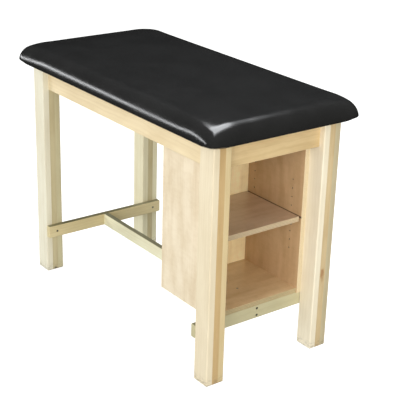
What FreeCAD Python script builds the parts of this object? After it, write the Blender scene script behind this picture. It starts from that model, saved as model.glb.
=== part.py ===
"""A wooden taping and exam table: a padded top on four laminated legs, braced by an H of stretchers,
with an open cabinet and one adjustable shelf under the +X end.

Frame: +X towards the cabinet end, -Y towards the front long side, +Z up.  The origin is on the floor
under the centre of the top.  Every piece is built about the middle of its own underside and then
placed, so that its sizes and its place both follow the sheet "sizes".
"""
import FreeCAD, Part
import os

import Sketcher

DOC = FreeCAD.newDocument("exam_table")
VEC = FreeCAD.Vector
TOLERANCE = 0.01

# alias, millimetres, what it measures
SIZES = [
    ("pad_length", 1220.0, "padded top, along X"),
    ("pad_width", 610.0, "padded top, along Y"),
    ("pad_thickness", 65.0, "cushion with the deck inside it"),
    ("pad_corner", 46.0, "corner radius of the top in plan"),
    ("pad_roll", 36.0, "rolled upper edge of the cushion"),
    ("pad_hem", 4.0, "rounding of the cushion's lower edge"),
    ("deck_thickness", 15.0, "plywood deck"),
    ("deck_inset", 6.0, "deck edge inside the cushion's edge"),
    ("deck_gap", 0.3, "play between the deck and the cushion"),
    ("frame_length", 1141.0, "over the legs, along X"),
    ("frame_width", 531.0, "over the legs, along Y"),
    ("leg_height", 854.0, "floor to the underside of the deck"),
    ("ply_board", 23.8, "one of the three boards of a leg"),
    ("leg_size", 71.4, "side of a leg, three boards"),
    ("leg_ease", 4.0, "rounded long edges of a leg"),
    ("foot_chamfer", 2.5, "chamfer round the foot of a leg"),
    ("rail_height", 97.0, "apron rails"),
    ("rail_tenon", 30.0, "long rail's end inside a leg"),
    ("end_rail_tenon", 15.0, "end rail's end inside a leg"),
    ("rail_ease", 1.5, "rounded long edges of a rail"),
    ("brace_bottom", 152.5, "floor to the underside of the stretchers"),
    ("brace_height", 48.0, "stretchers"),
    ("brace_thickness", 22.0, "stretchers"),
    ("brace_ease", 2.5, "rounded edges of a stretcher"),
    ("panel_thickness", 18.5, "cabinet plywood and shelf"),
    ("back_thickness", 9.5, "cabinet back"),
    ("cabinet_depth", 300.0, "cabinet, along X"),
    ("side_overlap", 4.5, "cabinet side's front edge over the leg"),
    ("panel_ease", 0.8, "broken edges of the plywood"),
    ("shelf_height", 492.5, "floor to the top of the shelf"),
    ("shelf_gap", 5.0, "shelf end to the cabinet side"),
    ("shelf_setback", 3.0, "shelf behind the cabinet's mouth"),
    ("shelf_back_gap", 4.0, "shelf to the cabinet back"),
    ("pin_pitch", 32.0, "between shelf-pin holes"),
    ("pin_first", 357.0, "floor to the lowest pin hole"),
    ("pin_front", 50.8, "front pin holes behind the mouth"),
    ("pin_rear", 36.0, "rear pin holes in front of the back"),
    ("pin_hole", 5.2, "diameter of a pin hole"),
    ("pin_hole_depth", 11.0, "depth of a pin hole"),
    ("pin_size", 5.0, "diameter of a support's pin"),
    ("pin_length", 10.0, "support's pin inside its hole"),
    ("support_width", 14.0, "shelf support, along X"),
    ("support_reach", 15.0, "flange under the shelf"),
    ("support_sheet", 1.5, "steel of a support"),
    ("support_below", 7.0, "support's plate below its pin"),
    ("cleat_height", 40.0, "cleat that hangs the cabinet"),
    ("cleat_length", 280.0, "cleat that hangs the cabinet"),
    ("screw_head", 8.4, "diameter of a countersunk head"),
    ("screw_shank", 4.0, "diameter of a screw"),
    ("screw_length", 48.0, "length of a screw"),
    ("screw_tip", 3.0, "pointed end of a screw"),
    ("screw_room", 1.0, "a hole's depth beyond its screw's tip"),
    ("screw_play", 0.2, "a hole's diameter over its screw's"),
    ("brace_screw_pitch", 26.0, "between the two screws of the long stretcher"),
    ("floor_screw", 387.0, "screw through the cabinet floor, along X"),
]
SIZE = {alias: value for alias, value, _ in SIZES}

PIN_ROWS = 9
SUPPORT_ROW = 3

# Places that several pieces share, as expressions of the sheet.
HALF_LENGTH = "sizes.frame_length / 2"
HALF_WIDTH = "sizes.frame_width / 2"
LEG_X = "(sizes.frame_length / 2 - sizes.leg_size / 2)"
MOUTH_X = "(sizes.frame_length / 2 - sizes.leg_size)"
INSIDE_Y = "(sizes.frame_width / 2 - sizes.leg_size)"
CABINET_HALF = f"({INSIDE_Y} - sizes.panel_thickness)"
CABINET_BACK_X = f"({MOUTH_X} - sizes.cabinet_depth)"
BACK_FACE_X = f"({CABINET_BACK_X} + sizes.back_thickness)"
BRACE_TOP = "(sizes.brace_bottom + sizes.brace_height)"
RAIL_BOTTOM = "(sizes.leg_height - sizes.rail_height)"
BRACE_X = f"({MOUTH_X} - sizes.brace_thickness / 2)"
BRACE_INNER_X = f"({MOUTH_X} - sizes.brace_thickness)"
BRACE_MIDDLE = "sizes.brace_bottom + sizes.brace_height / 2"
LEG_Y = "(sizes.frame_width / 2 - sizes.leg_size / 2)"
SCREW_HOLE = "sizes.screw_shank + sizes.screw_play"
SCREW_PITCH = "sizes.brace_screw_pitch / 2"


def make_sheet():
    """Write the driving dimensions, one row each, with an alias on every value."""
    sheet = DOC.addObject("Spreadsheet::Sheet", "sizes")
    for row, (alias, value, meaning) in enumerate(SIZES, start=1):
        sheet.set(f"A{row}", meaning)
        sheet.set(f"B{row}", str(value))
        sheet.setAlias(f"B{row}", alias)
    DOC.recompute()


# ---------------------------------------------------------------- helpers

def place(item, x, y, z):
    """Bind an object's position to three expressions."""
    for axis, text in zip("xyz", (x, y, z)):
        item.setExpression(f"Placement.Base.{axis}", str(text))


def plane(body, role):
    """The body's own origin plane with this role."""
    return next(item for item in body.Origin.OriginFeatures if item.Role == role)


def sketch_on(body, name, role, offset="0"):
    """An empty sketch on an origin plane of the body, moved along the plane's normal."""
    sketch = body.newObject("Sketcher::SketchObject", name)
    sketch.AttachmentSupport = [(plane(body, role), "")]
    sketch.MapMode = "FlatFace"
    sketch.setExpression("AttachmentOffset.Base.z", offset)
    return sketch


def name_constraint(sketch, constraint, name, expression):
    """Add a constraint, name it and bind it to an expression."""
    index = sketch.addConstraint(constraint)
    sketch.renameConstraint(index, name)
    sketch.setExpression(f"Constraints.{name}", expression)


def rectangle(sketch, width, height, middle=("0", "0")):
    """Draw a rectangle of width by height whose middle is held at two distances from the origin."""
    corners = [VEC(-1, -1, 0), VEC(1, -1, 0), VEC(1, 1, 0), VEC(-1, 1, 0)]
    for index, corner in enumerate(corners):
        sketch.addGeometry(Part.LineSegment(corner, corners[(index + 1) % 4]), False)
    for index in range(4):
        sketch.addConstraint(Sketcher.Constraint("Coincident", index, 2, (index + 1) % 4, 1))
    for index in (0, 2):
        sketch.addConstraint(Sketcher.Constraint("Horizontal", index))
    for index in (1, 3):
        sketch.addConstraint(Sketcher.Constraint("Vertical", index))
    centre = sketch.addGeometry(Part.Point(VEC(0, 0, 0)), True)
    sketch.addConstraint(Sketcher.Constraint("Symmetric", 0, 1, 1, 2, centre, 1))
    name_constraint(sketch, Sketcher.Constraint("DistanceX", 0, 1, 0, 2, 2), "width", width)
    name_constraint(sketch, Sketcher.Constraint("DistanceY", 1, 1, 1, 2, 2), "height", height)
    name_constraint(sketch, Sketcher.Constraint("DistanceX", -1, 1, centre, 1, 1), "across", middle[0])
    name_constraint(sketch, Sketcher.Constraint("DistanceY", -1, 1, centre, 1, 1), "up", middle[1])


def circles(sketch, diameter, middles):
    """Draw equal circles, each middle given as two expressions."""
    for number, (across, up) in enumerate(middles):
        circle = sketch.addGeometry(Part.Circle(VEC(number + 1, 1, 0), VEC(0, 0, 1), 0.2), False)
        held = [
            (Sketcher.Constraint("Diameter", circle, 0.4), "size", diameter),
            (Sketcher.Constraint("DistanceX", -1, 1, circle, 3, 1), "across", across),
            (Sketcher.Constraint("DistanceY", -1, 1, circle, 3, 1), "up", up),
        ]
        for constraint, name, expression in held:
            name_constraint(sketch, constraint, f"{name}{number}", expression)


def board(name, size, position):
    """A plain board: size is (x, y, z), position the middle of its underside, all expressions."""
    body = DOC.addObject("PartDesign::Body", name)
    body.Label = name
    outline = sketch_on(body, f"{name}_outline", "XY_Plane")
    rectangle(outline, size[0], size[1])
    pad = body.newObject("PartDesign::Pad", f"{name}_board")
    pad.Profile = outline
    pad.setExpression("Length", size[2])
    place(body, *position)
    DOC.recompute()
    return body


def edges_where(body, wanted):
    """Names of the edges of the body's last feature that a test accepts."""
    edges = body.Tip.Shape.Edges
    return [f"Edge{number}" for number, edge in enumerate(edges, start=1) if wanted(edge)]


def runs_along(edge, axis):
    """Whether a straight edge is parallel to an axis of its body."""
    if not isinstance(edge.Curve, (Part.Line, Part.LineSegment)):
        return False
    return abs(abs(edge.tangentAt(edge.FirstParameter).dot(axis)) - 1) < TOLERANCE


def near(value, target):
    """Whether two lengths agree."""
    return abs(value - target) < TOLERANCE


def round_edges(body, radius, wanted, kind="Fillet"):
    """Fillet, or chamfer, the edges that a test accepts."""
    names = edges_where(body, wanted)
    base = body.Tip
    feature = body.newObject(f"PartDesign::{kind}", f"{body.Name}_{kind.lower()}")
    feature.Base = (base, names)
    feature.setExpression("Radius" if kind == "Fillet" else "Size", radius)
    DOC.recompute()


def add_cut(body, kind, sketch):
    """Start a feature of the body that takes wood away along a sketch."""
    feature = body.newObject(f"PartDesign::{kind}", f"{sketch.Name}_{kind.lower()}")
    feature.Profile = sketch
    return feature


def finish_cut(feature, before):
    """Recompute a cut, and stop if it takes nothing from the volume that there was before it."""
    DOC.recompute()
    if feature.Shape.isNull() or feature.Shape.Volume > before - TOLERANCE:
        raise RuntimeError(f"{feature.Name} cuts nothing")
    return feature


def cut(body, sketch, depth, reverse=False, both_ways=False):
    """Pocket a sketch to a depth, or to half of it each way."""
    before = body.Tip.Shape.Volume
    pocket = add_cut(body, "Pocket", sketch)
    pocket.Reversed = reverse
    pocket.SideType = "Symmetric" if both_ways else "One side"
    pocket.setExpression("Length", depth)
    return finish_cut(pocket, before)


def countersink(body, sketch, reverse):
    """Countersunk screw holes through the body, one at each circle of the sketch."""
    before = body.Tip.Shape.Volume
    hole = add_cut(body, "Hole", sketch)
    hole.Reversed = reverse
    hole.DepthType = "ThroughAll"
    hole.setExpression("Diameter", SCREW_HOLE)
    hole.HoleCutType = "Countersink"
    hole.HoleCutCustomValues = True
    hole.setExpression("HoleCutDiameter", "sizes.screw_head + sizes.screw_play")
    hole.HoleCutCountersinkAngle = 90
    return finish_cut(hole, before)


# ---------------------------------------------------------------- top

def rounded_slab(name, inset, thickness):
    """A slab with rounded corners under the top, this far inside the top's edge."""
    size = (f"sizes.pad_length - 2 * {inset}", f"sizes.pad_width - 2 * {inset}", thickness)
    slab = board(name, size, ("0", "0", "sizes.leg_height"))
    round_edges(slab, f"sizes.pad_corner - {inset}", lambda edge: runs_along(edge, VEC(0, 0, 1)))
    return slab


def make_deck():
    """The plywood deck that the cushion is wrapped round."""
    return rounded_slab("deck", "sizes.deck_inset", "sizes.deck_thickness")


def make_cushion():
    """Foam and vinyl: a slab with rounded corners and a rolled upper edge, hollowed for the deck."""
    block = rounded_slab("cushion_block", "0", "sizes.pad_thickness")
    round_edges(block, "sizes.pad_roll", lambda edge: near(edge.CenterOfMass.z, SIZE["pad_thickness"]))
    round_edges(block, "sizes.pad_hem", lambda edge: near(edge.CenterOfMass.z, 0))
    room = rounded_slab("deck_room", "(sizes.deck_inset - sizes.deck_gap)", "sizes.deck_thickness")
    cushion = DOC.addObject("Part::Cut", "cushion")
    cushion.Label = "cushion"
    cushion.Base = block
    cushion.Tool = room
    DOC.recompute()
    return cushion


# ---------------------------------------------------------------- legs

def leg_board(name, side_x, side_y, layer):
    """One of a leg's three boards, layer 0 outermost, with its foot chamfered."""
    y = f"{side_y} * ({HALF_WIDTH} - {layer + 0.5} * sizes.ply_board)"
    size = ("sizes.leg_size", "sizes.ply_board", "sizes.leg_height")
    body = board(name, size, (f"{side_x} * {LEG_X}", y, "0"))
    outside = {0: side_y, 1: 0, 2: -side_y}[layer]
    face_y = outside * SIZE["ply_board"] / 2
    if outside:
        round_edges(
            body,
            "sizes.leg_ease",
            lambda edge: runs_along(edge, VEC(0, 0, 1)) and near(edge.CenterOfMass.y, face_y),
        )
    glued = [side * SIZE["ply_board"] / 2 for side in (-1, 1) if side != outside]
    round_edges(
        body,
        "sizes.foot_chamfer",
        lambda edge: near(edge.CenterOfMass.z, 0) and not any(near(edge.CenterOfMass.y, y) for y in glued),
        "Chamfer",
    )
    return body


def cut_long_rail_slot(body, side_x):
    """Slot the top of a core board, on its inner side, for the long rail's tenon."""
    slot = sketch_on(body, f"{body.Name}_slot", "XZ_Plane")
    across = f"{-side_x} * (sizes.leg_size - sizes.rail_tenon) / 2"
    up = f"{RAIL_BOTTOM} + sizes.rail_height / 2"
    rectangle(slot, "sizes.rail_tenon", "sizes.rail_height", (across, up))
    cut(body, slot, "2 * sizes.ply_board", both_ways=True)


def cut_end_rail_slot(body, side_x, side_y):
    """Slot the top of an inner board, from its inner face, for the end rail's tenon."""
    offset = f"{side_x} * (sizes.leg_size / 2 - 1.5 * sizes.ply_board)"
    slot = sketch_on(body, f"{body.Name}_slot", "YZ_Plane", offset)
    across = f"{-side_y} * (sizes.ply_board - sizes.end_rail_tenon) / 2"
    up = f"{RAIL_BOTTOM} + sizes.rail_height / 2"
    rectangle(slot, "sizes.end_rail_tenon", "sizes.rail_height", (across, up))
    cut(body, slot, "sizes.ply_board", both_ways=True)


def cut_brace_screw_hole(body, side_x):
    """Blind hole in a core board for the screw that holds the cross stretcher."""
    hole = sketch_on(body, f"{body.Name}_screw", "YZ_Plane", f"{-side_x} * sizes.leg_size / 2")
    circles(hole, SCREW_HOLE, [("0", BRACE_MIDDLE)])
    depth = "sizes.screw_length - sizes.brace_thickness + sizes.screw_room"
    cut(body, hole, depth, reverse=side_x > 0)


def make_legs():
    """Four legs, each glued up from an outer, a core and an inner board."""
    boards = []
    for end, side_x in (("left", -1), ("right", 1)):
        for edge, side_y in (("front", -1), ("back", 1)):
            for layer, part in enumerate(("outer", "core", "inner")):
                body = leg_board(f"leg_{edge}_{end}_{part}_board", side_x, side_y, layer)
                if part == "core":
                    cut_long_rail_slot(body, side_x)
                    cut_brace_screw_hole(body, side_x)
                if part == "inner":
                    cut_end_rail_slot(body, side_x, side_y)
                boards.append(body)
    return boards


# ---------------------------------------------------------------- rails and stretchers

def ease_lower_edges(rail, axis):
    """Round the two lower edges of a rail that runs along an axis."""
    round_edges(
        rail,
        "sizes.rail_ease",
        lambda edge: runs_along(edge, axis) and near(edge.CenterOfMass.z, 0),
    )


def make_rails():
    """Apron rails under the deck, each one board's thickness behind the legs' outer faces."""
    rails = []
    for edge, side_y in (("front", -1), ("back", 1)):
        size = (f"2 * ({MOUTH_X} + sizes.rail_tenon)", "sizes.ply_board", "sizes.rail_height")
        y = f"{side_y} * ({HALF_WIDTH} - 1.5 * sizes.ply_board)"
        rail = board(f"rail_{edge}", size, ("0", y, RAIL_BOTTOM))
        ease_lower_edges(rail, VEC(1, 0, 0))
        rails.append(rail)
    for end, side_x in (("left_end", -1), ("right_end", 1)):
        size = ("sizes.ply_board", f"2 * ({INSIDE_Y} + sizes.end_rail_tenon)", "sizes.rail_height")
        x = f"{side_x} * ({HALF_LENGTH} - 1.5 * sizes.ply_board)"
        rail = board(f"rail_{end}", size, (x, "0", RAIL_BOTTOM))
        ease_lower_edges(rail, VEC(0, 1, 0))
        rails.append(rail)
    return rails


def make_cross_stretcher(end, side_x):
    """A board across the inner faces of two legs, screwed to them and to the long stretcher."""
    size = ("sizes.brace_thickness", "sizes.frame_width", "sizes.brace_height")
    body = board(f"cross_stretcher_{end}", size, (f"{side_x} * {BRACE_X}", "0", "sizes.brace_bottom"))
    round_edges(body, "sizes.brace_ease", lambda edge: True)
    half = "sizes.brace_thickness / 2"
    middle = "sizes.brace_height / 2"
    leg_screws = sketch_on(body, f"{body.Name}_leg_screws", "YZ_Plane", f"{-side_x} * {half}")
    circles(leg_screws, "sizes.screw_shank", [(LEG_Y, middle), (f"-{LEG_Y}", middle)])
    countersink(body, leg_screws, reverse=side_x > 0)
    brace_screws = sketch_on(body, f"{body.Name}_brace_screws", "YZ_Plane", f"{side_x} * {half}")
    places = [("0", f"{middle} {sign} {SCREW_PITCH}") for sign in "-+"]
    circles(brace_screws, "sizes.screw_shank", places)
    countersink(body, brace_screws, reverse=side_x < 0)
    return body


def make_long_stretcher():
    """The board along the middle, between the two cross stretchers."""
    size = (f"2 * {BRACE_INNER_X}", "sizes.brace_thickness", "sizes.brace_height")
    body = board("long_stretcher", size, ("0", "0", "sizes.brace_bottom"))
    round_edges(body, "sizes.brace_ease", lambda edge: runs_along(edge, VEC(1, 0, 0)))
    places = [("0", f"sizes.brace_height / 2 {sign} {SCREW_PITCH}") for sign in "-+"]
    end_depth = "sizes.screw_length - sizes.brace_thickness + sizes.screw_room"
    for end, side_x in (("left", -1), ("right", 1)):
        screws = sketch_on(body, f"brace_end_{end}", "YZ_Plane", f"{side_x} * {BRACE_INNER_X}")
        circles(screws, SCREW_HOLE, places)
        cut(body, screws, end_depth, reverse=side_x < 0)
    floor = sketch_on(body, "brace_floor_screw", "XY_Plane", "sizes.brace_height")
    circles(floor, SCREW_HOLE, [("sizes.floor_screw", "0")])
    cut(body, floor, "sizes.screw_length - sizes.panel_thickness + sizes.screw_room")
    return body


# ---------------------------------------------------------------- cabinet

def make_cabinet_side(edge, side_y):
    """A side of the cabinet, inside the legs and lapping a little way over the right ones, with two
    columns of shelf-pin holes on its inner face."""
    depth = "(sizes.cabinet_depth + sizes.side_overlap)"
    size = (depth, "sizes.panel_thickness", f"sizes.leg_height - {BRACE_TOP}")
    x = f"{MOUTH_X} + sizes.side_overlap - {depth} / 2"
    y = f"{side_y} * ({INSIDE_Y} - sizes.panel_thickness / 2)"
    body = board(f"cabinet_side_{edge}", size, (x, y, BRACE_TOP))
    round_edges(body, "sizes.panel_ease", lambda edge: runs_along(edge, VEC(0, 0, 1)))
    inner_face = f"{side_y} * sizes.panel_thickness / 2"
    first = sketch_on(body, f"{body.Name}_first_pins", "XZ_Plane", inner_face)
    front = f"{depth} / 2 - sizes.side_overlap - sizes.pin_front"
    rear = f"sizes.back_thickness + sizes.pin_rear - {depth} / 2"
    low = f"sizes.pin_first - {BRACE_TOP}"
    circles(first, "sizes.pin_hole", [(front, low), (rear, low)])
    pocket = cut(body, first, "sizes.pin_hole_depth", reverse=side_y < 0)
    column = body.newObject("PartDesign::LinearPattern", f"{body.Name}_pins")
    column.Originals = [pocket]
    column.Direction = (first, ["V_Axis"])
    column.Occurrences = PIN_ROWS
    column.setExpression("Length", f"{PIN_ROWS - 1} * sizes.pin_pitch")
    body.Tip = column
    DOC.recompute()
    return body


def make_cabinet_back():
    """The cabinet's closed back, between its sides and on top of the long stretcher."""
    size = ("sizes.back_thickness", f"2 * {CABINET_HALF}", f"sizes.leg_height - {BRACE_TOP}")
    return board("cabinet_back", size, (f"{CABINET_BACK_X} + sizes.back_thickness / 2", "0", BRACE_TOP))


def make_cabinet_floor():
    """The cabinet's floor, resting on the stretchers and screwed down to the long one."""
    depth = "(sizes.cabinet_depth - sizes.back_thickness)"
    size = (depth, f"2 * {CABINET_HALF}", "sizes.panel_thickness")
    middle = f"({MOUTH_X} - {depth} / 2)"
    body = board("cabinet_floor", size, (middle, "0", BRACE_TOP))
    round_edges(body, "sizes.panel_ease", lambda edge: runs_along(edge, VEC(0, 1, 0)))
    screw = sketch_on(body, "floor_screw_place", "XY_Plane", "sizes.panel_thickness")
    circles(screw, "sizes.screw_shank", [(f"sizes.floor_screw - {middle}", "0")])
    countersink(body, screw, reverse=False)
    return body


def make_shelf():
    """The loose shelf, a little narrower than the cabinet."""
    depth = f"({MOUTH_X} - sizes.shelf_setback - {BACK_FACE_X} - sizes.shelf_back_gap)"
    size = (depth, f"2 * ({CABINET_HALF} - sizes.shelf_gap)", "sizes.panel_thickness")
    x = f"{MOUTH_X} - sizes.shelf_setback - {depth} / 2"
    body = board("shelf", size, (x, "0", "sizes.shelf_height - sizes.panel_thickness"))
    round_edges(body, "sizes.panel_ease", lambda edge: runs_along(edge, VEC(0, 1, 0)))
    return body


def make_cleats():
    """Two cleats under the deck that fill the space between the cabinet's sides and the long rails."""
    cleats = []
    for edge, side_y in (("front", -1), ("back", 1)):
        size = ("sizes.cleat_length", "sizes.ply_board", "sizes.cleat_height")
        y = f"{side_y} * ({INSIDE_Y} + sizes.ply_board / 2)"
        x = f"{MOUTH_X} - sizes.cabinet_depth / 2"
        cleats.append(board(f"cabinet_cleat_{edge}", size, (x, y, "sizes.leg_height - sizes.cleat_height")))
    return cleats


# ---------------------------------------------------------------- hardware

def support(name, side_y, x):
    """An angle support: a flange under the shelf, a plate on the cabinet side and a pin in its hole."""
    top = "(sizes.shelf_height - sizes.panel_thickness)"
    pin_z = f"(sizes.pin_first + {SUPPORT_ROW} * sizes.pin_pitch)"
    flange = DOC.addObject("Part::Box", f"{name}_flange")
    flange.setExpression("Length", "sizes.support_width")
    flange.setExpression("Width", "sizes.support_reach")
    flange.setExpression("Height", "sizes.support_sheet")
    plate = DOC.addObject("Part::Box", f"{name}_plate")
    plate.setExpression("Length", "sizes.support_width")
    plate.setExpression("Width", "sizes.support_sheet")
    plate.setExpression("Height", f"{top} - {pin_z} + sizes.support_below")
    pin = DOC.addObject("Part::Cylinder", f"{name}_pin")
    pin.setExpression("Radius", "sizes.pin_size / 2")
    pin.setExpression("Height", "sizes.pin_length + sizes.support_sheet")
    inwards = {-1: "0", 1: "1"}[side_y]
    left = f"{x} - sizes.support_width / 2"
    face = f"{side_y} * {CABINET_HALF}"
    place(flange, left, f"{face} - {inwards} * sizes.support_reach", f"{top} - sizes.support_sheet")
    place(plate, left, f"{face} - {inwards} * sizes.support_sheet", f"{pin_z} - sizes.support_below")
    pin.Placement.Rotation = FreeCAD.Rotation(VEC(1, 0, 0), -90 * side_y)
    place(pin, x, f"{side_y} * ({CABINET_HALF} - sizes.support_sheet)", pin_z)
    fuse = DOC.addObject("Part::MultiFuse", name)
    fuse.Shapes = [flange, plate, pin]
    fuse.Refine = True
    return fuse


def screw(name, position, rotation):
    """A countersunk screw that points along +Z before it is turned, its head's face at its place."""
    head = DOC.addObject("Part::Cone", f"{name}_head")
    head.setExpression("Radius1", "sizes.screw_head / 2")
    head.setExpression("Radius2", "sizes.screw_shank / 2")
    head.setExpression("Height", "(sizes.screw_head - sizes.screw_shank) / 2")
    shank = DOC.addObject("Part::Cylinder", f"{name}_shank")
    shank.setExpression("Radius", "sizes.screw_shank / 2")
    shank.setExpression("Height", "sizes.screw_length - sizes.screw_tip")
    tip = DOC.addObject("Part::Cone", f"{name}_tip")
    tip.setExpression("Radius1", "sizes.screw_shank / 2")
    tip.Radius2 = 0
    tip.setExpression("Height", "sizes.screw_tip")
    tip.setExpression("Placement.Base.z", "sizes.screw_length - sizes.screw_tip")
    fuse = DOC.addObject("Part::MultiFuse", name)
    fuse.Shapes = [head, shank, tip]
    fuse.Placement.Rotation = rotation
    place(fuse, *position)
    return fuse


def group(name, members):
    """Identical fasteners as separate solids of one node."""
    compound = DOC.addObject("Part::Compound", name)
    compound.Label = name
    compound.Links = members
    return compound


def make_hardware():
    """Shelf supports, and the screws of the stretchers and of the cabinet floor."""
    columns = {"front": f"({MOUTH_X} - sizes.pin_front)", "rear": f"({BACK_FACE_X} + sizes.pin_rear)"}
    supports = [
        support(f"support_{number}_{column}", side_y, x)
        for number, side_y in enumerate((-1, 1))
        for column, x in columns.items()
    ]
    along = {side: FreeCAD.Rotation(VEC(0, 1, 0), 90 * side) for side in (-1, 1)}
    leg_screws = []
    brace_screws = []
    for side_x in (-1, 1):
        for side in (-1, 1):
            number = f"{side_x + 1}{side + 1}"
            place_on_leg = (f"{side_x} * {BRACE_INNER_X}", f"{side} * {LEG_Y}", BRACE_MIDDLE)
            leg_screws.append(screw(f"leg_screw_{number}", place_on_leg, along[side_x]))
            place_on_brace = (f"{side_x} * {MOUTH_X}", "0", f"{BRACE_MIDDLE} + {side} * {SCREW_PITCH}")
            brace_screws.append(screw(f"brace_screw_{number}", place_on_brace, along[-side_x]))
    down = FreeCAD.Rotation(VEC(1, 0, 0), 180)
    floor_top = f"{BRACE_TOP} + sizes.panel_thickness"
    floor_screw = screw("floor_screw", ("sizes.floor_screw", "0", floor_top), down)
    return [
        group("shelf_supports", supports),
        group("cross_stretcher_screws", leg_screws),
        group("long_stretcher_screws", brace_screws),
        group("cabinet_floor_screw", [floor_screw]),
    ]


# ---------------------------------------------------------------- whole

def make_table():
    """Every piece of the table, in the order in which it is put together."""
    make_sheet()
    pieces = [make_deck(), make_cushion()]
    pieces += make_legs()
    pieces += make_rails()
    pieces += [make_cross_stretcher("left", -1), make_cross_stretcher("right", 1)]
    pieces += [make_long_stretcher()]
    pieces += [make_cabinet_side("front", -1), make_cabinet_side("back", 1)]
    pieces += [make_cabinet_back(), make_cabinet_floor(), make_shelf()]
    pieces += make_cleats()
    pieces += make_hardware()
    DOC.recompute()
    return pieces


def check(pieces):
    """Stop before anything is written if an object has failed or a piece has no sound shape."""
    for item in DOC.Objects:
        if "Invalid" in item.State or "Error" in item.State:
            raise RuntimeError(f"{item.Label} failed: {item.State}")
    for piece in pieces:
        if piece.Shape.isNull() or not piece.Shape.isValid():
            raise RuntimeError(f"{piece.Label} has no sound shape")


def export(pieces):
    """Write one STEP file for each piece, named after it."""
    os.makedirs("parts", exist_ok=True)
    for piece in pieces:
        piece.Shape.exportStep(f"parts/{piece.Label}.step")


PIECES = make_table()
check(PIECES)
export(PIECES)
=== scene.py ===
"""Looks of the taping and exam table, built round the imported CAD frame."""
import math

import bmesh
import bpy
import numpy as np
from mathutils import Matrix, Quaternion, Vector, noise


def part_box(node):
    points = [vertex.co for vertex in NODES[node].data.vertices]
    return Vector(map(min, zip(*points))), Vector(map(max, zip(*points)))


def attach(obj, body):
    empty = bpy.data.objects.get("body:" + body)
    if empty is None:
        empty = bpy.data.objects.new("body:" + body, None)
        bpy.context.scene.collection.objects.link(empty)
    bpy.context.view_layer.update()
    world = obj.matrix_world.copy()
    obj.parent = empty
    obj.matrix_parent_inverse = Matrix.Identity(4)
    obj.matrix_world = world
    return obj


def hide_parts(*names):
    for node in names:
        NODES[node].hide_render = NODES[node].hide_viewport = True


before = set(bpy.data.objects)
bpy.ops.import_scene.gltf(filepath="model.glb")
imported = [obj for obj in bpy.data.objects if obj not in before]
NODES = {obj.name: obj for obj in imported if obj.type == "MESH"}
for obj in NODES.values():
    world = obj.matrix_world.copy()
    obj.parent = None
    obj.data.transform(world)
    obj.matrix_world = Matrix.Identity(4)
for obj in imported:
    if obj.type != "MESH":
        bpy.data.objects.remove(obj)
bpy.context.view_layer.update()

# ---------------------------------------------------------------- node helpers


class Graph:
    """Short names for building one material's or group's node tree."""

    def __init__(self, tree):
        self.tree = tree

    def node(self, kind, inputs=None, **settings):
        made = self.tree.nodes.new(kind)
        for key, value in settings.items():
            setattr(made, key, value)
        for key, value in (inputs or {}).items():
            self.feed(made.inputs[key], value)
        return made

    def feed(self, socket, value):
        if isinstance(value, bpy.types.NodeSocket):
            self.tree.links.new(value, socket)
        else:
            socket.default_value = value

    def math(self, operation, *values, clamp=False):
        made = self.node("ShaderNodeMath", operation=operation, use_clamp=clamp)
        for socket, value in zip(made.inputs, values):
            self.feed(socket, value)
        return made.outputs[0]

    def vector(self, operation, *values):
        made = self.node("ShaderNodeVectorMath", operation=operation)
        for socket, value in zip(made.inputs, values):
            self.feed(socket, value)
        return made.outputs["Value" if operation in ("DOT_PRODUCT", "LENGTH") else "Vector"]

    def mix(self, share, first, second, blend="MIX"):
        made = self.node("ShaderNodeMix", data_type="RGBA", blend_type=blend)
        self.feed(made.inputs[0], share)
        self.feed(made.inputs[6], first)
        self.feed(made.inputs[7], second)
        return made.outputs[2]

    def ramp(self, value, low, high, out_low=0.0, out_high=1.0):
        made = self.node("ShaderNodeMapRange", interpolation_type="SMOOTHSTEP")
        for socket, given in zip(made.inputs, (value, low, high, out_low, out_high)):
            self.feed(socket, given)
        return made.outputs[0]

    def noise(self, where, scale, detail=2.0, roughness=0.5, distortion=0.0):
        made = self.node("ShaderNodeTexNoise", {
            "Vector": where, "Scale": scale, "Detail": detail,
            "Roughness": roughness, "Distortion": distortion})
        return made.outputs[0]


def srgb(red, green, blue):
    """A display colour, 0 to 255, as the linear colour that shaders use."""
    parts = [value / 255 for value in (red, green, blue)]
    linear = [v / 12.92 if v <= 0.04045 else ((v + 0.055) / 1.055) ** 2.4 for v in parts]
    return (*linear, 1.0)


def new_material(name):
    """A material with an empty tree, its Graph and its Principled shader."""
    material = bpy.data.materials.new(name)
    material.use_nodes = True
    graph = Graph(material.node_tree)
    graph.tree.nodes.clear()
    shader = graph.node("ShaderNodeBsdfPrincipled")
    output = graph.node("ShaderNodeOutputMaterial")
    graph.tree.links.new(shader.outputs[0], output.inputs[0])
    return material, graph, shader


def finish_surface(graph, shader, colour, roughness, height, depth):
    """Feed a shader its colour, roughness and bump."""
    graph.feed(shader.inputs["Base Color"], colour)
    graph.feed(shader.inputs["Roughness"], roughness)
    bump = graph.node("ShaderNodeBump", {"Height": height, "Distance": depth, "Strength": 1.0})
    graph.feed(shader.inputs["Normal"], bump.outputs[0])


# ---------------------------------------------------------------- materials

AXES = {"x": (1, 2, 0), "y": (2, 0, 1), "z": (0, 1, 2)}  # the frame's axes, the grain's own one last
WOOD_RELIEF, VINYL_RELIEF, ZINC_RELIEF = 0.00010, 0.00002, 0.00002  # heights of their bumps
GAP_SHADE_WIDTH = (0.0026, 0.0046)  # where the painted shade line in the gap beside a shelf starts to fade and has faded, each side of its middle
GAP_SHADE_BELOW_TOP = 0.0035  # the painted shade line's middle below the shelf's upper face
PITH_AWAY = 0.085  # from a board's middle to the centre of its growth rings
SATIN_COAT, GLOSSY_COAT = 0.14, 0.6  # weights of the clear coat on plywood


def shade(colour, *share):
    """A colour with its channels scaled by one number or by three."""
    share = share * 3 if len(share) == 1 else share
    return (*(value * part for value, part in zip(colour, share)), 1.0)


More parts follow.
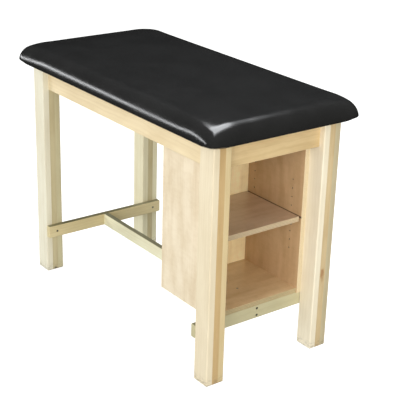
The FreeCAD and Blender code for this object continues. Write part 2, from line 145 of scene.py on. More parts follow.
def object_space(graph):
    """Object coordinates, in metres in the frame of the CAD."""
    return graph.node("ShaderNodeTexCoord").outputs["Object"]


def grain_space(graph, along, offset):
    """Object coordinates turned so that the grain runs along Z and shifted by offset, and their parts."""
    split = graph.node("ShaderNodeSeparateXYZ", {0: object_space(graph)})
    order = AXES[along]
    turned = graph.node("ShaderNodeCombineXYZ", {k: split.outputs[order[k]] for k in range(3)})
    return graph.vector("ADD", turned.outputs[0], offset), split


def stretched(graph, where, across, along):
    """Coordinates scaled for a texture that is long along the grain."""
    return graph.vector("MULTIPLY", where, (across, across, along))


def stain(graph, colour, spot, size, brown, share):
    """A soft brown patch, such as a knot, round a spot."""
    away = graph.vector("SUBTRACT", object_space(graph), spot)
    away = graph.vector("MULTIPLY", away, [1.0 / reach for reach in size])
    ragged = graph.noise(stretched(graph, object_space(graph), 90.0, 60.0), 1.0, 3.0)
    radius = graph.math("ADD", graph.vector("LENGTH", away), graph.ramp(ragged, 0.3, 0.7, -0.25, 0.25))
    return graph.mix(graph.ramp(radius, 0.15, 1.0, share, 0.0), colour, brown)


def dirty_foot(graph, colour, split):
    """Scuffs and floor dirt on the last few centimetres of a leg, and its lowest few millimetres darker
    towards the floor.
    """
    scuff = graph.noise(stretched(graph, object_space(graph), 60.0, 150.0), 1.0, 4.0, 0.6)
    low = graph.ramp(split.outputs[2], 0.004, 0.050, 1.0, 0.0)
    marks = graph.math("MULTIPLY", graph.math("MULTIPLY", low, low), graph.ramp(scuff, 0.42, 0.62))
    colour = graph.mix(graph.math("MULTIPLY", marks, 0.45), colour, srgb(120, 110, 90))
    # The lowest 3.5 mm are darkened, more so towards the floor.
    edge = graph.ramp(split.outputs[2], 0.0, 0.0035, 0.75, 0.0)
    return graph.mix(edge, colour, srgb(70, 66, 58))


def lacquer(shader, weight, roughness):
    """A thin clear coat."""
    shader.inputs["Coat Weight"].default_value = weight
    shader.inputs["Coat Roughness"].default_value = roughness


def maple(name, base, along, offset, figure=1.0, stains=(), foot=False, shaded_top=0.0):
    """Clear-lacquered maple: faint growth rings cut by the board's faces, streaks, fibre and flecks, and
    painted shade on its upward faces if asked.
    """
    material, graph, shader = new_material(name)
    light, dark = shade(base, 1.06), shade(base, 0.80, 0.74, 0.64)
    where, split = grain_space(graph, along, offset)
    bend = graph.noise(stretched(graph, where, 7.0, 0.9), 1.0, 3.0)
    swing = graph.node("ShaderNodeCombineXYZ", {0: bend, 1: bend, 2: 0.0}).outputs[0]
    shifted = graph.vector("ADD", where, graph.vector("MULTIPLY", swing, (0.05, 0.035, 0.0)))
    rings = graph.node("ShaderNodeTexWave", {
        "Vector": shifted, "Scale": 26.0, "Distortion": 3.0, "Detail": 3.0,
        "Detail Scale": 0.5, "Detail Roughness": 0.6},
        wave_type="RINGS", rings_direction="Z", wave_profile="SIN").outputs["Fac"]
    late = graph.math("POWER", rings, 3.0)
    fibre = graph.noise(stretched(graph, where, 620.0, 9.0), 1.0, 3.0, 0.6)
    streak = graph.noise(stretched(graph, where, 64.0, 1.4), 1.0, 4.0, 0.6)
    cloud = graph.noise(stretched(graph, where, 14.0, 5.0), 1.0, 3.0, 0.6)
    speck = graph.ramp(graph.noise(stretched(graph, where, 300.0, 30.0), 1.0, 1.0), 0.70, 0.80)
    tone = graph.math("MULTIPLY", late, 0.14 * figure)
    tone = graph.math("ADD", tone, graph.ramp(streak, 0.40, 0.72, 0.0, 0.18 * figure))
    tone = graph.math("ADD", tone, graph.ramp(fibre, 0.30, 0.75, -0.05, 0.10))
    tone = graph.math("ADD", tone, graph.ramp(cloud, 0.30, 0.70, -0.02, 0.34 * figure), clamp=True)
    colour = graph.mix(tone, light, dark)
    colour = graph.mix(graph.math("MULTIPLY", speck, 0.14), colour, shade(dark, 0.55))
    for spot, size, brown, share in stains:
        colour = stain(graph, colour, spot, size, brown, share)
    if foot:
        colour = dirty_foot(graph, colour, split)
    if shaded_top:
        # Painted shade: upward faces are darkened towards a dark olive, standing in for the shade under the
        # table top.
        normal = graph.node("ShaderNodeSeparateXYZ", {0: graph.node("ShaderNodeTexCoord").outputs["Normal"]})
        colour = graph.mix(graph.ramp(normal.outputs[2], 0.6, 0.95, 0.0, shaded_top), colour, srgb(84, 88, 62))
    height = graph.math("ADD", graph.math("MULTIPLY", fibre, 0.5), graph.math("MULTIPLY", late, -0.25))
    finish_surface(graph, shader, colour, graph.ramp(streak, 0.3, 0.8, 0.38, 0.50), height, WOOD_RELIEF)
    lacquer(shader, 0.12, 0.24)
    return material


def plywood(name, base, along, through, box, offset, plies=7, figure=1.0, raw=False, side_shading=None,
            gloss=SATIN_COAT, gap_shade=None):
    """Plywood: a mottled rotary-cut face veneer, its plies on every edge, and painted shade inside its bores.

    side_shading is (axis, sign, colour): the face that looks that way has this colour, painted with its own
    light and shade.  On that face gap_shade is the height of a thin dark line of painted shade, the shadow in
    the gap beside a shelf.  gloss is the coat's weight.
    face rub is the height of a thin dark line, worn in by a shelf's edge.  gloss is the coat's weight.
    """
    material, graph, shader = new_material(name)
    light, dark = shade(base, 1.06), shade(base, 0.80, 0.73, 0.62)
    where, split = grain_space(graph, along, offset)
    normal = graph.node("ShaderNodeSeparateXYZ", {0: graph.node("ShaderNodeTexCoord").outputs["Normal"]})
    waves = graph.noise(stretched(graph, where, 4.4, 0.75), 1.0, 3.0, 0.5, 0.5)
    bands = graph.math("PINGPONG", graph.math("MULTIPLY", waves, 8.0), 0.5)
    bands = graph.ramp(bands, 0.02, 0.40, 1.0, 0.0)
    fibre = graph.noise(stretched(graph, where, 560.0, 10.0), 1.0, 3.0, 0.6)
    streak = graph.noise(stretched(graph, where, 48.0, 2.2), 1.0, 4.0, 0.6)
    cloud = graph.noise(stretched(graph, where, 17.0, 7.0), 1.0, 4.0, 0.62)
    curl = graph.noise(stretched(graph, where, 30.0, 75.0), 1.0, 2.0, 0.5)
    tone = graph.math("MULTIPLY", bands, 0.20 * figure)
    tone = graph.math("ADD", tone, graph.ramp(streak, 0.40, 0.74, 0.0, 0.22 * figure))
    tone = graph.math("ADD", tone, graph.ramp(fibre, 0.30, 0.75, -0.05, 0.10))
    tone = graph.math("ADD", tone, graph.ramp(curl, 0.35, 0.70, -0.03, 0.10 * figure))
    tone = graph.math("ADD", tone, graph.ramp(cloud, 0.34, 0.68, -0.04, 0.36 * figure), clamp=True)
    face = graph.mix(tone, light, dark)
    if side_shading:
        axis, sign, colour = side_shading
        # Painted light and shade: the chosen face gets its own colour, darker where it lies in shade, lighter
        # where it is lit.
        own = graph.mix(tone, shade(colour, 1.08), shade(colour, 0.78, 0.70, 0.60))
        towards = graph.math("MULTIPLY", normal.outputs["xyz".index(axis)], float(sign))
        # Painted shade: a thin dark line at the shelf's height, standing in for the shadow in the gap beside
        # the shelf.
        if gap_shade:
            away = graph.math("ABSOLUTE", graph.math("SUBTRACT", split.outputs[2], gap_shade))
            own = graph.mix(graph.ramp(away, *GAP_SHADE_WIDTH, 0.9, 0.0), own, srgb(66, 44, 32))
        face = graph.mix(graph.ramp(towards, 0.4, 0.8), face, own)
    index = "xyz".index(through)
    low, high = box
    share = graph.node("ShaderNodeMapRange", {
        0: split.outputs[index], 1: low[index], 2: high[index], 3: 0.0, 4: float(plies)}).outputs[0]
    odd = graph.math("MODULO", graph.math("FLOOR", graph.math("ADD", share, 0.0001)), 2.0)
    glue = graph.ramp(graph.math("PINGPONG", share, 0.5), 0.0, 0.14, 1.0, 0.0)
    pores = graph.noise(object_space(graph), 900.0, 2.0, 0.6)
    across = graph.mix(graph.ramp(pores, 0.35, 0.7, 0.30, 0.85), light, shade(dark, 0.75))
    edge = graph.mix(odd, graph.mix(graph.ramp(fibre, 0.3, 0.7, 0.0, 0.4), light, dark), across)
    edge = graph.mix(graph.math("MULTIPLY", glue, 0.40), edge, srgb(110, 76, 46))
    facing = graph.math("ABSOLUTE", normal.outputs[index])
    on_edge = graph.ramp(facing, 0.55, 0.85, 1.0, 0.0)
    colour = graph.mix(on_edge, face, edge)
    # Painted shade: points deep inside the panel's box, the walls of its bores, are darkened nearly to
    # black-brown.
    inside = [graph.math("MINIMUM", graph.math("SUBTRACT", split.outputs[k], low[k]),
                         graph.math("SUBTRACT", high[k], split.outputs[k])) for k in range(3)]
    depth = graph.math("MINIMUM", graph.math("MINIMUM", inside[0], inside[1]), inside[2])
    colour = graph.mix(graph.ramp(depth, 0.0004, 0.0012, 0.0, 0.93), colour, srgb(46, 30, 18))
    height = graph.math("ADD", graph.math("MULTIPLY", fibre, 0.5),
                        graph.math("MULTIPLY", graph.math("MULTIPLY", glue, on_edge), -0.8))
    rough = 0.62 if raw else 0.36
    satin = graph.ramp(streak, 0.3, 0.8, rough, rough + 0.12)
    finish_surface(graph, shader, colour, satin, height, WOOD_RELIEF)
    if not raw:
        lacquer(shader, gloss, 0.20)
    return material


def vinyl(name, tone):
    """Black upholstery vinyl: fine pebbled grain under a glossy top coat, with painted shade in the grain's
    grooves.
    """
    material, graph, shader = new_material(name)
    where = object_space(graph)
    warp = graph.node("ShaderNodeTexNoise", {"Vector": where, "Scale": 380.0, "Detail": 2.0})
    bent = graph.vector("ADD", where, graph.vector("MULTIPLY", warp.outputs[1], (0.0007, 0.0007, 0.0007)))
    cells = graph.node("ShaderNodeTexVoronoi", {"Vector": bent, "Scale": 640.0},
                       feature="DISTANCE_TO_EDGE").outputs["Distance"]
    grain = graph.ramp(cells, 0.0, 0.30)
    pores = graph.noise(where, 2600.0, 2.0)
    cloud = graph.noise(where, 9.0, 3.0, 0.6)
    mottle = graph.noise(where, 120.0, 3.0, 0.7)
    colour = graph.mix(graph.ramp(cloud, 0.3, 0.7), shade(tone, 0.88), shade(tone, 1.10))
    colour = graph.mix(graph.ramp(mottle, 0.35, 0.65, 0.0, 0.5), colour, shade(tone, 1.35))
    # Painted shade: the grain's grooves are darkened.
    groove_shade = graph.math("MULTIPLY", graph.math("SUBTRACT", 1.0, grain), 0.35)
    colour = graph.mix(groove_shade, colour, shade(tone, 0.5))
    height = graph.math("ADD", grain, graph.math("MULTIPLY", pores, 0.15))
    finish_surface(graph, shader, colour, graph.ramp(cloud, 0.3, 0.7, 0.13, 0.18), height, VINYL_RELIEF)
    shader.inputs["Specular IOR Level"].default_value = 0.8
    return material


def zinc(name):
    """Zinc plate, dulled and slightly mottled."""
    material, graph, shader = new_material(name)
    spots = graph.noise(object_space(graph), 520.0, 3.0, 0.6)
    grime = graph.ramp(graph.noise(object_space(graph), 160.0, 3.0, 0.6), 0.4, 0.65)
    colour = graph.mix(spots, srgb(120, 122, 124), srgb(186, 188, 188))
    colour = graph.mix(graph.math("MULTIPLY", grime, 0.6), colour, srgb(70, 66, 58))
    finish_surface(graph, shader, colour, graph.ramp(spots, 0.3, 0.7, 0.26, 0.42), spots, ZINC_RELIEF)
    shader.inputs["Metallic"].default_value = 1.0
    return material


# Lacquered colour of every wooden node, as 0 to 255 display values.
# A leg: its outer, core and inner boards.
LEG_TONES = {
    "front_left": ((234, 229, 210), (205, 194, 158), (206, 198, 164)),
    "front_right": ((228, 215, 189), (203, 174, 128), (212, 192, 150)),
    "back_left": ((232, 226, 198), (206, 194, 156), (232, 226, 198)),
    "back_right": ((198, 185, 154), (216, 194, 154), (242, 232, 210)),
}
# A rail or stretcher: the axis of its grain, then its colour.
RAIL_TONES = {
    "rail_front": ("x", (236, 218, 182)), "rail_back": ("x", (236, 220, 186)),
    "rail_left_end": ("y", (232, 216, 180)), "rail_right_end": ("y", (222, 197, 152)),
    "cabinet_cleat_front": ("x", (226, 206, 168)), "cabinet_cleat_back": ("x", (228, 208, 172)),
    "cross_stretcher_left": ("y", (222, 208, 166)), "cross_stretcher_right": ("y", (198, 191, 157)),
    "long_stretcher": ("x", (243, 240, 212)),
}
# A panel: the axes of its grain and its thickness, its colour, and one face's colour with painted light and
# shade: darker on the sides' inner faces and the shelf's top, lighter on the back's inner face and the
# floor's top.
PANEL_TONES = {
    "cabinet_side_front": ("z", "y", (236, 222, 198), ("y", 1, (204, 172, 134))),
    "cabinet_side_back": ("z", "y", (238, 222, 188), ("y", -1, (204, 172, 134))),
    "cabinet_back": ("z", "x", (236, 220, 186), ("x", 1, (255, 238, 192))),
    "cabinet_floor": ("y", "z", (198, 180, 141), ("z", 1, (212, 184, 145))),
    "shelf": ("y", "z", (212, 192, 160), ("z", 1, (196, 170, 147))),
}


def paint(node, material):
    """Give a CAD node this one material."""
    mesh = NODES[node].data
    mesh.materials.clear()
    mesh.materials.append(material)
    mesh.polygons.foreach_set("material_index", [0] * len(mesh.polygons))


def ring_centre(node, along, seed):
    """Where a board's growth rings are centred: a little outside it, each board a different way."""
    low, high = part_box(node)
    middle = (low + high) / 2
    order = AXES[along]
    turn = 2.4 * seed
    return (PITH_AWAY * math.cos(turn) - middle[order[0]], PITH_AWAY * math.sin(turn) - middle[order[1]],
            1.7 * seed)


def paint_legs():
    """Each board of each leg has its own tone and its own piece of grain."""
    knot_low, knot_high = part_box("leg_back_right_core_board")
    # A small dark patch low on the front left leg's core board, by its foot.
    dark_spot_low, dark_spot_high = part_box("leg_front_left_core_board")
    knot = (knot_high.x, (knot_low.y + knot_high.y) / 2, 0.288)
    dark_spot = (dark_spot_high.x, (dark_spot_low.y + dark_spot_high.y) / 2, 0.006)
    stains = {
        "leg_back_right_core_board": [(knot, (0.016, 0.013, 0.034), srgb(176, 130, 88), 0.85)],
        "leg_front_left_core_board": [(dark_spot, (0.008, 0.008, 0.008), srgb(60, 50, 38), 0.9)],
    }
    seed = 0
    for corner, tones in LEG_TONES.items():
        for part, tone in zip(("outer", "core", "inner"), tones):
            seed += 1
            node = f"leg_{corner}_{part}_board"
            figure = 1.3 if part == "core" else 0.8
            centre = ring_centre(node, "z", seed)
            marks = stains.get(node, ())
            paint(node, maple(f"maple_{node}", srgb(*tone), "z", centre, figure, marks, foot=True))


def paint_rails():
    """Rails and stretchers, grain along each; the stretchers' upward faces get painted shade."""
    for seed, (node, (along, tone)) in enumerate(RAIL_TONES.items(), start=20):
        # Strength of the painted shade on the stretchers' upward faces.
        top_shade = 0.75 if "stretcher" in node else 0.0
        figure = 1.5 if node == "rail_right_end" else 1.0
        paint(node, maple(f"maple_{node}", srgb(*tone), along, ring_centre(node, along, seed), figure,
                          shaded_top=top_shade))


def paint_panels():
    """Plywood panels.  The shelf and the floor are the glossy ones; each panel has one face with painted
    light and shade, and the sides also have a painted shade line at the shelf's gap.
    """
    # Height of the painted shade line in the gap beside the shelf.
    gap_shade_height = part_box("shelf")[1].z - GAP_SHADE_BELOW_TOP
    for seed, (node, (along, through, tone, (axis, sign, own))) in enumerate(PANEL_TONES.items()):
        plies = 5 if node == "cabinet_back" else 7
        offset = (3.1 * seed, 1.3 * seed, 0.7 * seed)
        paint(node, plywood(f"birch_{node}", srgb(*tone), along, through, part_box(node), offset, plies,
                            side_shading=(axis, sign, srgb(*own)),
                            gloss=GLOSSY_COAT if axis == "z" else SATIN_COAT,
                            gap_shade=gap_shade_height if axis == "y" else None))
    paint("deck", plywood("deck_ply", srgb(206, 172, 124), "x", "z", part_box("deck"), (7.0, 2.0, 1.0), 5,
                          figure=1.6, raw=True))


def paint_hardware():
    """Screws and shelf supports."""
    metal = zinc("zinc")
    for node in ("shelf_supports", "cross_stretcher_screws", "long_stretcher_screws", "cabinet_floor_screw"):
        paint(node, metal)


# ---------------------------------------------------------------- cushion

CORNER = 0.060  # radius of the pad's corners, seen from above
ROLL_IN, ROLL_UP = 0.034, 0.057  # width and height of the rolled upper edge
LEAN = 0.06  # how far the roll leans in, as a share of its height
STEPS_IN = 8  # rings of faces over the roll
DECK_TOP = 0.0153  # the hollow for the deck, above the pad's lower edge
PULL, PULL_REACH = 0.17, 0.100  # share of the height that the corners lose, and from how far
SQUARE = 5.0  # exponent of the superellipse that the corners' lower rings follow
FLARE, FLARE_REACH = 0.0085, 0.170  # how far the corners' sides are drawn out, and from how far
SLACK = 0.001  # how far the cover starts inside the CAD's sides
CROWN_ABOVE = 0.0025  # how far it starts above the CAD's top
FOLDS = [math.radians(turn) for turn in (14, 30, 45, 60, 76)]  # gathers round a corner
FOLD_WIDTH, FOLD_DEPTH = 0.085, 0.0012  # of a gather, in radians and metres
# Below the roll, each ring's height, inset in millimetres, tip and pucker.
WRAP = (
    (0.0065, 0.1, 0.86, 0.3), (0.0040, 0.3, 0.70, 0.8), (0.0018, 0.7, 0.54, 1.0),
    (-0.0006, 1.3, 0.38, 1.0), (-0.0020, 2.2, 0.22, 0.7), (-0.0030, 3.6, 0.10, 0.3))


def link(obj):
    """Put a new object in the scene."""
    bpy.context.scene.collection.objects.link(obj)
    return obj


def mesh_object(name, vertices, faces):
    """A new object from lists of points and faces."""
    mesh = bpy.data.meshes.new(name)
    mesh.from_pydata(vertices, [], faces)
    mesh.update()
    return link(bpy.data.objects.new(name, mesh))


def smooth_step(value):
    """0 below 0, 1 above 1 and a smooth rise between."""
    value = min(max(value, 0.0), 1.0)
    return value * value * (3.0 - 2.0 * value)


def profile(shrink, thick):
    """The pad's section from its flat top to its lower edge, as (inset, height, tip, pucker) per ring.

    tip is how far the ring's corners reach out into points, pucker how deep its gathers are.
    """
    rings = [(CORNER, thick, 0.0, 0.0)]
    side = thick - ROLL_UP
    for step in range(STEPS_IN):
        turn = math.radians(90.0 * (1.0 - step / (STEPS_IN - 1)))
        inset = shrink + ROLL_IN * (1.0 - math.cos(turn)) + LEAN * ROLL_UP * math.sin(turn)
        tip = smooth_step(1.6 * (CORNER - inset) / CORNER)
        rings.append((inset, side + ROLL_UP * math.sin(turn), tip, 0.0))
    rings += [(shrink + inset * 0.001, height, tip, pucker) for height, inset, tip, pucker in WRAP]
    return rings


def spread(half):
    """Grid lines across the flat part: close together near both ends, further apart in the middle."""
    near = np.array([0.0, 0.005, 0.011, 0.018, 0.026, 0.035, 0.045])
    count = round(2 * (half - near[-1]) / 0.011)
    inner = np.linspace(-half + near[-1], half - near[-1], count + 1)
    return np.concatenate([-half + near[:-1], inner, (half - near[:-1])[::-1]])


def cushion_shell(low, high, shrink, thick):
    """A grid of quads over the pad's top and sides, open below.  Returns points, faces and the wrapped part.

    Its corners are drawn down and out, as a cover pulled tight over a square deck draws the foam.
    """
    rings = profile(shrink, thick)
    half_x, half_y = (high.x - low.x) / 2, (high.y - low.y) / 2
    core_x, core_y = half_x - CORNER, half_y - CORNER
    middle = (low + high) / 2
    before = [(-1, k) for k in range(STEPS_IN, 0, -1)]
    after = [(1, k) for k in range(1, STEPS_IN + 1)]
    xs = before + [(0, t) for t in spread(core_x)] + after
    ys = before + [(0, t) for t in spread(core_y)] + after

    def gathered(angle, depth):
        """How far a gather at this angle round the corner draws the cover in."""
        return depth * sum(math.exp(-((angle - fold) / FOLD_WIDTH) ** 2) for fold in FOLDS)

    def closeness(across, up, reach):
        """1 at the pad's corners, 0 further than reach from them."""
        near_x = smooth_step(1.0 - (half_x - abs(across)) / reach)
        near_y = smooth_step(1.0 - (half_y - abs(up)) / reach)
        return near_x * near_y

    def place(ix, iy, ring=None):
        """Where a grid point lies, or the point below it on one of the wrapped rings."""
        (sx, kx), (sy, ky) = xs[ix], ys[iy]
        across = kx if sx == 0 else sx * core_x
        up = ky if sy == 0 else sy * core_y
        beyond_x, beyond_y = (kx if sx else 0), (ky if sy else 0)
        level = max(beyond_x, beyond_y) if ring is None else ring
        inset, height, tip, pucker = rings[level]
        reach = CORNER - inset
        if sx and sy:
            if beyond_x >= beyond_y:
                angle = math.pi / 4 * beyond_y / beyond_x
            else:
                angle = math.pi / 2 - math.pi / 4 * beyond_x / beyond_y
            square = (math.cos(angle) ** SQUARE + math.sin(angle) ** SQUARE) ** (-1.0 / SQUARE)
            reach *= 1.0 + tip * (square - 1.0)
            reach -= gathered(angle, FOLD_DEPTH * pucker)
            across += sx * reach * math.cos(angle)
            up += sy * reach * math.sin(angle)
        elif sx:
            across += sx * reach
        elif sy:
            up += sy * reach
        pull = PULL * closeness(across, up, PULL_REACH)
        flare = FLARE * tip * closeness(across, up, FLARE_REACH)
        across += math.copysign(flare, across)
        up += math.copysign(flare, up)
        height *= 1.0 - pull
        return (middle.x + across, middle.y + up, low.z + height)

    nx, ny = len(xs), len(ys)
    points = [place(ix, iy) for ix in range(nx) for iy in range(ny)]
    faces = [(ix * ny + iy, (ix + 1) * ny + iy, (ix + 1) * ny + iy + 1, ix * ny + iy + 1)
             for ix in range(nx - 1) for iy in range(ny - 1)]
    loop = [(ix, 0) for ix in range(nx - 1)] + [(nx - 1, iy) for iy in range(ny - 1)]
    loop += [(ix, ny - 1) for ix in range(nx - 1, 0, -1)] + [(0, iy) for iy in range(ny - 1, 0, -1)]
    above = [ix * ny + iy for ix, iy in loop]
    for ring in range(STEPS_IN + 1, len(rings)):
        start = len(points)
        points += [place(ix, iy, ring) for ix, iy in loop]
        below = list(range(start, start + len(loop)))
        for k in range(len(loop)):
            n = (k + 1) % len(loop)
            faces.append((above[n], above[k], below[k], below[n]))
        above = below
    return points, faces, list(range(nx * ny, len(points)))


def apply_modifiers(obj):
    """Replace an object's mesh by what its modifiers make of it."""
    depsgraph = bpy.context.evaluated_depsgraph_get()
    mesh = bpy.data.meshes.new_from_object(obj.evaluated_get(depsgraph))
    obj.modifiers.clear()
    obj.data = mesh


def inflate(obj, pinned, frames, cap):
    """Blow the cover up like one stretched over foam, with no point moving further than cap."""
    rest = np.array([v.co for v in obj.data.vertices])
    outward = np.array([v.normal for v in obj.data.vertices])
    group = obj.vertex_groups.new(name="stapled")
    group.add(pinned, 1.0, "REPLACE")
    cloth = obj.modifiers.new("cover", "CLOTH")
    settings = cloth.settings
    settings.quality = 6
    settings.mass = 0.4
    settings.tension_stiffness = settings.compression_stiffness = 40
    settings.shear_stiffness = 20
    settings.bending_stiffness = 4
    settings.use_pressure = True
    settings.uniform_pressure_force = 4
    settings.vertex_group_mass = "stapled"
    settings.effector_weights.gravity = 0
    cloth.collision_settings.use_collision = False
    cloth.point_cache.frame_start, cloth.point_cache.frame_end = 1, frames
    scene = bpy.context.scene
    for number in range(1, frames + 1):
        scene.frame_set(number)
    apply_modifiers(obj)
    scene.frame_set(1)
    limit = cap * (0.2 + 0.8 * outward[:, 2] ** 2)
    rise = ((np.array([v.co for v in obj.data.vertices]) - rest) * outward).sum(axis=1)
    rise = evened(obj.data, limit * np.tanh(np.maximum(rise, 0.0) / limit), pinned, rounds=300)
    obj.data.vertices.foreach_set("co", (rest + outward * rise[:, None]).ravel())
    obj.data.update()


def evened(mesh, rise, pinned, rounds):
    """The cover's rise averaged with its neighbours', because foam doesn't let a cover crumple."""
    edges = np.array([edge.vertices[:] for edge in mesh.edges])
    first, second = np.concatenate([edges, edges[:, ::-1]]).T
    count = np.bincount(first, minlength=len(rise))
    for _ in range(rounds):
        rise = 0.5 * rise + 0.5 * np.bincount(first, rise[second], len(rise)) / count
        rise[pinned] = 0.0
    return rise


def smooth_shade(obj):
    """Shade every face of an object smooth."""
    obj.data.polygons.foreach_set("use_smooth", [True] * len(obj.data.polygons))


def close_below(obj, base):
    """Close the pad: a wall up round the deck's edge and a lid over the deck."""
    work = bmesh.new()
    work.from_mesh(obj.data)
    for height in (base, base + DECK_TOP):
        rim = [edge for edge in work.edges if edge.is_boundary]
        made = bmesh.ops.extrude_edge_only(work, edges=rim)
        for vertex in (item for item in made["geom"] if isinstance(item, bmesh.types.BMVert)):
            vertex.co.z = height
    bmesh.ops.contextual_create(work, geom=[edge for edge in work.edges if edge.is_boundary])
    bmesh.ops.recalc_face_normals(work, faces=work.faces)
    work.to_mesh(obj.data)
    work.free()


def make_cushion():
    """The padded top, simulated as a stretched cover."""
    low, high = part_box("cushion")
    points, faces, wrapped = cushion_shell(low, high, SLACK, high.z - low.z + CROWN_ABOVE)
    cushion = mesh_object("padded_top", points, faces)
    inflate(cushion, wrapped, frames=20, cap=0.005)
    smooth_shade(cushion)
    division = cushion.modifiers.new("smooth", "SUBSURF")
    division.levels = division.render_levels = 1
    apply_modifiers(cushion)
    close_below(cushion, low.z)
    smooth_shade(cushion)
    cushion.data.materials.append(vinyl("black_vinyl", srgb(37, 37, 37)))
    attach(cushion, "table")
    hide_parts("cushion")
    return cushion


def edge_loop(inset, corner, step):
    """Points round the pad at this inset, as (place, outward direction, whether it is in a corner)."""
    low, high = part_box("cushion")
    half = Vector(((high.x - low.x) / 2 - inset, (high.y - low.y) / 2 - inset, 0.0))
    middle = (low + high) / 2
    points = []
    for sx, sy, start in ((1, 1, 0), (-1, 1, 90), (-1, -1, 180), (1, -1, 270)):
        centre = Vector((middle.x + sx * (half.x - corner), middle.y + sy * (half.y - corner), low.z))
        for turn in range(13):
            angle = math.radians(start + 7.5 * turn)
            out = Vector((math.cos(angle), math.sin(angle), 0.0))
            points.append((centre + out * corner, out, 0 < turn < 12))
        run = 2 * ((half.x if start in (0, 180) else half.y) - corner)
        way = Vector((-math.sin(angle), math.cos(angle), 0.0))
        count = max(2, round(run / step))
        first = points[-1][0].copy()
        points += [(first + way * (run * k / count), out, False) for k in range(1, count)]
    return points


def make_hem():
    """The cover's turned-under edge: a strip of vinyl under the deck, folded at the corners."""
    path = edge_loop(inset=0.0045, corner=0.0415, step=0.010)
    points, faces = [], []
    count = len(path)
    for k, (place, out, in_corner) in enumerate(path):
        wave = noise.noise(Vector((place.x * 21.0, place.y * 21.0, 3.0))) * 0.0025
        width = (0.0235 if in_corner else 0.0265) + wave
        fold = 0.0006 * (0.5 + 0.5 * math.cos(math.pi * k)) if in_corner else 0.0
        inner = place - out * width
        for spot, drop in ((place, 0.0001), (inner, 0.0001), (inner, 0.0010 + fold), (place, 0.0012 + fold)):
            points.append((spot.x, spot.y, spot.z - drop))
    for k in range(count):
        n = (k + 1) % count
        for side in range(4):
            other = (side + 1) % 4
            faces.append((4 * k + side, 4 * k + other, 4 * n + other, 4 * n + side))
    hem = mesh_object("cover_hem", points, faces)
    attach(hem, "table")
    hem.data.materials.append(bpy.data.materials["black_vinyl"])
    return hem


# Half-round section of a staple's wire: across it and up.
WIRE = ((-0.0004, 0.0), (0.0004, 0.0), (0.0004, -0.0004),
        (0.0002, -0.0006), (-0.0002, -0.0006), (-0.0004, -0.0004))


def make_staples():
    """Wire staples that hold the hem to the deck, a little askew."""
    work = bmesh.new()
    for k, (place, out, _) in enumerate(edge_loop(inset=0.018, corner=0.028, step=0.034)):
        along = Vector((-out.y, out.x, 0.0))
        skew = noise.noise(Vector((k * 1.7, 0.3, 0.0))) * 0.5
        along = (along + out * skew).normalized()
        across = Vector((-along.y, along.x, 0.0))
        rings = []
        for reach, lift in ((-0.0050, 0.0006), (-0.0046, 0.0001), (0.0046, 0.0001), (0.0050, 0.0006)):
            middle = place + along * reach + Vector((0.0, 0.0, lift - 0.0012))
            rings.append([work.verts.new(middle + across * a + Vector((0.0, 0.0, b))) for a, b in WIRE])
        for first, second in zip(rings, rings[1:]):
            for a in range(len(WIRE)):
                b = (a + 1) % len(WIRE)
                work.faces.new((first[a], first[b], second[b], second[a]))
        work.faces.new(rings[0][::-1])
        work.faces.new(rings[-1])
    bmesh.ops.recalc_face_normals(work, faces=work.faces)
    mesh = bpy.data.meshes.new("hem_staples")
    work.to_mesh(mesh)
    work.free()
    staples = link(bpy.data.objects.new("hem_staples", mesh))
    mesh.materials.append(bpy.data.materials["zinc"])
    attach(staples, "table")
    return staples


# ---------------------------------------------------------------- stage


FLOOR_REACH = 40.0


def make_floor():
    """A pale seamless floor that glows a little, as an evenly lit studio sweep does."""
    corners = [(x * FLOOR_REACH, y * FLOOR_REACH, 0) for x, y in ((-1, -1), (1, -1), (1, 1), (-1, 1))]
    floor = mesh_object("studio_floor", corners, [(0, 1, 2, 3)])
    material, graph, shader = new_material("studio_floor")
    cloth = graph.noise(object_space(graph), 3.0)
    graph.feed(shader.inputs["Base Color"], graph.mix(cloth, (0.50, 0.50, 0.50, 1), (0.52, 0.52, 0.52, 1)))
    shader.inputs["Roughness"].default_value = 0.9
    shader.inputs["Specular IOR Level"].default_value = 0.1
    shader.inputs["Emission Color"].default_value = (1.0, 1.0, 1.0, 1.0)
    shader.inputs["Emission Strength"].default_value = 0.84
    floor.data.materials.append(material)
    floor.visible_glossy = False
    floor.visible_diffuse = False


def softbox(name, place, target, width, height, radiance, colour=(1.0, 1.0, 1.0), glossy=True, roll=0.0):
    """A rectangular studio light aimed at a point, of this brightness, turned on its axis by roll."""
    data = bpy.data.lights.new(name, "AREA")
    data.shape = "RECTANGLE"
    data.size, data.size_y = width, height
    data.energy = radiance * math.pi * width * height
    data.color = colour
    light = link(bpy.data.objects.new(name, data))
    light.location = place
    light.rotation_mode = "QUATERNION"
    aim = (Vector(target) - Vector(place)).to_track_quat("-Z", "Y")
    light.rotation_quaternion = aim @ Quaternion((0.0, 0.0, 1.0), math.radians(roll))
    light.visible_glossy = glossy
    return light


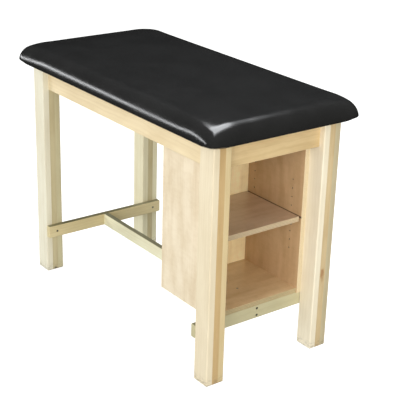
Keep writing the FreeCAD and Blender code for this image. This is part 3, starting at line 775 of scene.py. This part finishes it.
def make_lights():
    """A low, narrow key far to the front left with a broad one over it, two fills and one overhead.

    Only the key and the overhead lights show as reflections: in the pad's long side and on its corner.
    """
    softbox("key", (-4.75, -3.40, 0.58), (0.0, -0.3, 0.9), 3.6, 0.38, 7.6, (0.97, 0.98, 1.0), roll=-12.0)
    softbox("key_top", (-4.75, -3.40, 2.60), (0.0, -0.3, 0.9), 3.2, 1.8, 9.6, (0.97, 0.98, 1.0), glossy=False)
    softbox("front", (2.32, -3.81, 1.54), (0.15, 0.0, 0.6), 2.4, 2.4, 6.0, (1.0, 0.99, 0.97), glossy=False)
    softbox("right", (4.47, -0.61, 1.69), (0.15, 0.0, 0.6), 2.0, 2.0, 6.1, (1.0, 0.97, 0.91), glossy=False)
    softbox("overhead", (0.30, 0.20, 2.6), (0.30, 0.1999, 0.9), 1.8, 1.6, 5.6, (0.95, 0.97, 1.0))
    # Seen only in reflections, it softens the overhead light's outline.
    halo = softbox("overhead_halo", (0.30, 0.20, 2.62), (0.30, 0.1999, 0.9), 2.7, 2.0, 1.5, (0.95, 0.97, 1.0))
    halo.visible_diffuse = False
    world = bpy.data.worlds.new("studio")
    world.use_nodes = True
    background = world.node_tree.nodes["Background"]
    background.inputs[0].default_value = (0.98, 1.0, 0.93, 1.0)
    background.inputs[1].default_value = 0.46
    bpy.context.scene.world = world
    world.cycles_visibility.glossy = False


def make_camera():
    """The camera of a studio shot from the front right, a little above the top."""
    azimuth, elevation, roll = (math.radians(v) for v in (52.8991, 21.9755, 1.6665))
    target = Vector((0.10636, 0.03728, 0.450))
    distance = 4.0139
    back = Vector((math.sin(azimuth) * math.cos(elevation), -math.cos(azimuth) * math.cos(elevation),
                   math.sin(elevation)))
    level = Vector((math.cos(azimuth), math.sin(azimuth), 0.0))
    upright = back.cross(level)
    right = math.cos(roll) * level + math.sin(roll) * upright
    up = -math.sin(roll) * level + math.cos(roll) * upright
    place = target + back * distance
    data = bpy.data.cameras.new("camera")
    data.sensor_width = 36.0
    data.lens = 99.161
    data.clip_start, data.clip_end = 0.05, 200.0
    camera = link(bpy.data.objects.new("camera", data))
    camera.matrix_world = Matrix((
        (right.x, up.x, back.x, place.x),
        (right.y, up.y, back.y, place.y),
        (right.z, up.z, back.z, place.z),
        (0.0, 0.0, 0.0, 1.0)))
    bpy.context.scene.camera = camera


paint_legs()
paint_rails()
paint_panels()
paint_hardware()
make_cushion()
make_hem()
make_staples()
make_floor()
make_lights()
make_camera()
bpy.context.scene.view_settings.view_transform = "Standard"
